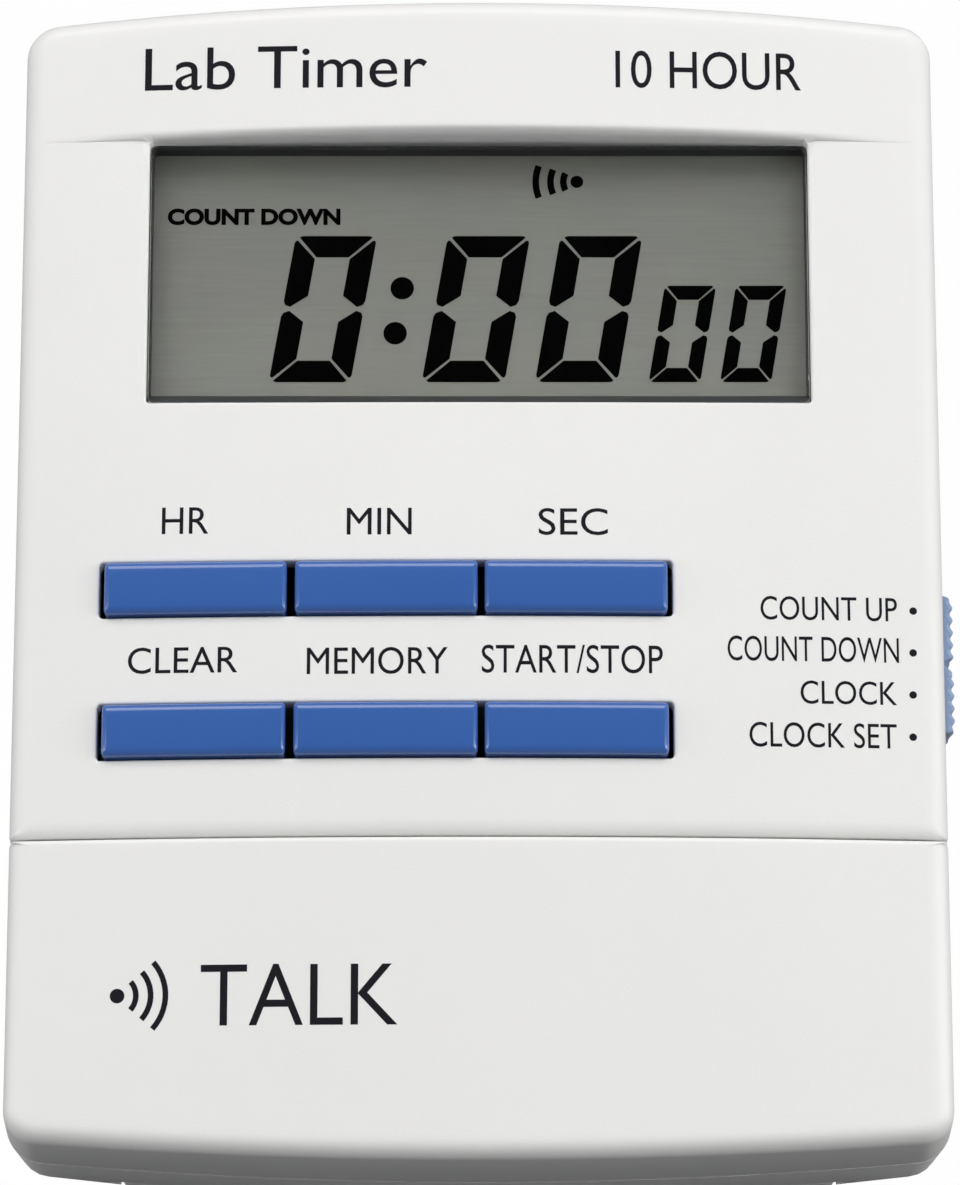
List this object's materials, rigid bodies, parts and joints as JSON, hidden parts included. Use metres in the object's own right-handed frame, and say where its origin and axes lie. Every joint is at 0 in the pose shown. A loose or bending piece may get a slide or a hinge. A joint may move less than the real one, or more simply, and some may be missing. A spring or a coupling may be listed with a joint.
{
  "type": "lab timer",
  "caption": "Hand-size electronic lab timer with a crowned white case, recessed display, blue keys, a slide mode knob and a rocking talk bar",
  "frame": {"origin": "middle of the case's footprint, on the flat back", "axes": "+X right seen from the front, +Y towards the header above the display, +Z out of the face"},
  "size_m": [0.0717, 0.0914, 0.0209],
  "materials": {
    "case_white": "satin white moulded ABS",
    "key_blue": "polished blue moulded keys",
    "knob_blue": "lighter blue ribbed knob",
    "clear_acrylic": "clear acrylic",
    "display_grey": "grey-green liquid crystal display",
    "black_plastic": "black moulded plastic",
    "board_green": "green solder mask on glass-fibre board",
    "chip_epoxy": "black epoxy and sleeve",
    "silicone_grey": "translucent grey silicone rubber",
    "conductive_rubber": "layered conductive rubber",
    "zinc_steel": "zinc plated steel",
    "nickel_plate": "nickel plated",
    "cone_paper": "black pressed paper",
    "ferrite": "sintered ferrite",
    "cell_jacket": "printed film jacket on a steel can",
    "can_aluminium": "drawn can",
    "red_lead": "red insulation",
    "black_lead": "black insulation"
  },
  "bodies": {
    "case": {"front_housing": "case_white", "rear_housing": "case_white", "display_window": "clear_acrylic", "lcd_glass": "display_grey", "lcd_frame": "black_plastic", "mode_switch_body": "black_plastic", "talk_switch_body": "black_plastic", "main_board": "board_green", "talk_board": "board_green", "voice_chip": "chip_epoxy", "capacitor": "chip_epoxy", "key_mat": "silicone_grey", "zebra_strip_lower": "conductive_rubber", "zebra_strip_upper": "conductive_rubber", "bar_hinge_pin": "zinc_steel", "speaker_frame": "zinc_steel", "case_screw_upper_left": "zinc_steel", "case_screw_upper_right": "zinc_steel", "case_screw_lower_left": "zinc_steel", "case_screw_lower_right": "zinc_steel", "board_screw_upper_left": "zinc_steel", "board_screw_upper_right": "zinc_steel", "board_screw_lower_left": "zinc_steel", "board_screw_lower_right": "zinc_steel", "contact_bridge": "nickel_plate", "contact_minus": "nickel_plate", "contact_plus": "nickel_plate", "battery_spring_lower": "nickel_plate", "battery_spring_upper": "nickel_plate", "magnet_left": "nickel_plate", "magnet_right": "nickel_plate", "speaker_cone": "cone_paper", "speaker_magnet": "ferrite", "battery_lower": "cell_jacket", "battery_upper": "cell_jacket", "quartz_crystal": "can_aluminium", "speaker_lead_red": "red_lead", "battery_lead_red": "red_lead", "talk_lead_red": "red_lead", "speaker_lead_black": "black_lead", "battery_lead_black": "black_lead", "talk_lead_black": "black_lead"},
    "hour_key": {"hour_key": "key_blue"},
    "minute_key": {"minute_key": "key_blue"},
    "second_key": {"second_key": "key_blue"},
    "clear_key": {"clear_key": "key_blue"},
    "memory_key": {"memory_key": "key_blue"},
    "start_stop_key": {"start_stop_key": "key_blue"},
    "talk_bar": {"talk_bar": "case_white", "talk_switch_plunger": "black_plastic"},
    "mode_knob": {"mode_knob": "knob_blue", "mode_switch_lever": "black_plastic"},
    "battery_door": {"battery_door": "case_white"},
    "kickstand": {"kickstand": "case_white"}
  },
  "joints": [
    {"name": "hour_press", "type": "slide", "parent": "case", "child": "hour_key", "axis": [0, 0, -1], "range_m": [0, 0.0008], "stiffness_N_per_m": 1000, "springref_m": -0.0003, "deforming": ["key_mat"]},
    {"name": "minute_press", "type": "slide", "parent": "case", "child": "minute_key", "axis": [0, 0, -1], "range_m": [0, 0.0008], "stiffness_N_per_m": 1000, "springref_m": -0.0003, "deforming": ["key_mat"]},
    {"name": "second_press", "type": "slide", "parent": "case", "child": "second_key", "axis": [0, 0, -1], "range_m": [0, 0.0008], "stiffness_N_per_m": 1000, "springref_m": -0.0003, "deforming": ["key_mat"]},
    {"name": "clear_press", "type": "slide", "parent": "case", "child": "clear_key", "axis": [0, 0, -1], "range_m": [0, 0.0008], "stiffness_N_per_m": 1000, "springref_m": -0.0003, "deforming": ["key_mat"]},
    {"name": "memory_press", "type": "slide", "parent": "case", "child": "memory_key", "axis": [0, 0, -1], "range_m": [0, 0.0008], "stiffness_N_per_m": 1000, "springref_m": -0.0003, "deforming": ["key_mat"]},
    {"name": "start_stop_press", "type": "slide", "parent": "case", "child": "start_stop_key", "axis": [0, 0, -1], "range_m": [0, 0.0008], "stiffness_N_per_m": 1000, "springref_m": -0.0003, "deforming": ["key_mat"]},
    {"name": "bar_press", "type": "hinge", "parent": "case", "child": "talk_bar", "pos_m": [0, -0.0405, 0.0159], "axis": [-1, 0, 0], "range_deg": [0, 2.5], "stiffness_Nm_per_rad": 0.5, "springref_deg": -1.15},
    {"name": "mode_slide", "type": "slide", "parent": "case", "child": "mode_knob", "axis": [0, 1, 0], "range_m": [-0.00646, 0.00323]},
    {"name": "door_slide", "type": "slide", "parent": "case", "child": "battery_door", "axis": [0, -1, 0], "range_m": [0, 0.026]},
    {"name": "kickstand_swing", "type": "hinge", "parent": "case", "child": "kickstand", "pos_m": [0, 0.0085, 0.0013], "axis": [1, 0, 0], "range_deg": [0, 65]}
  ]
}
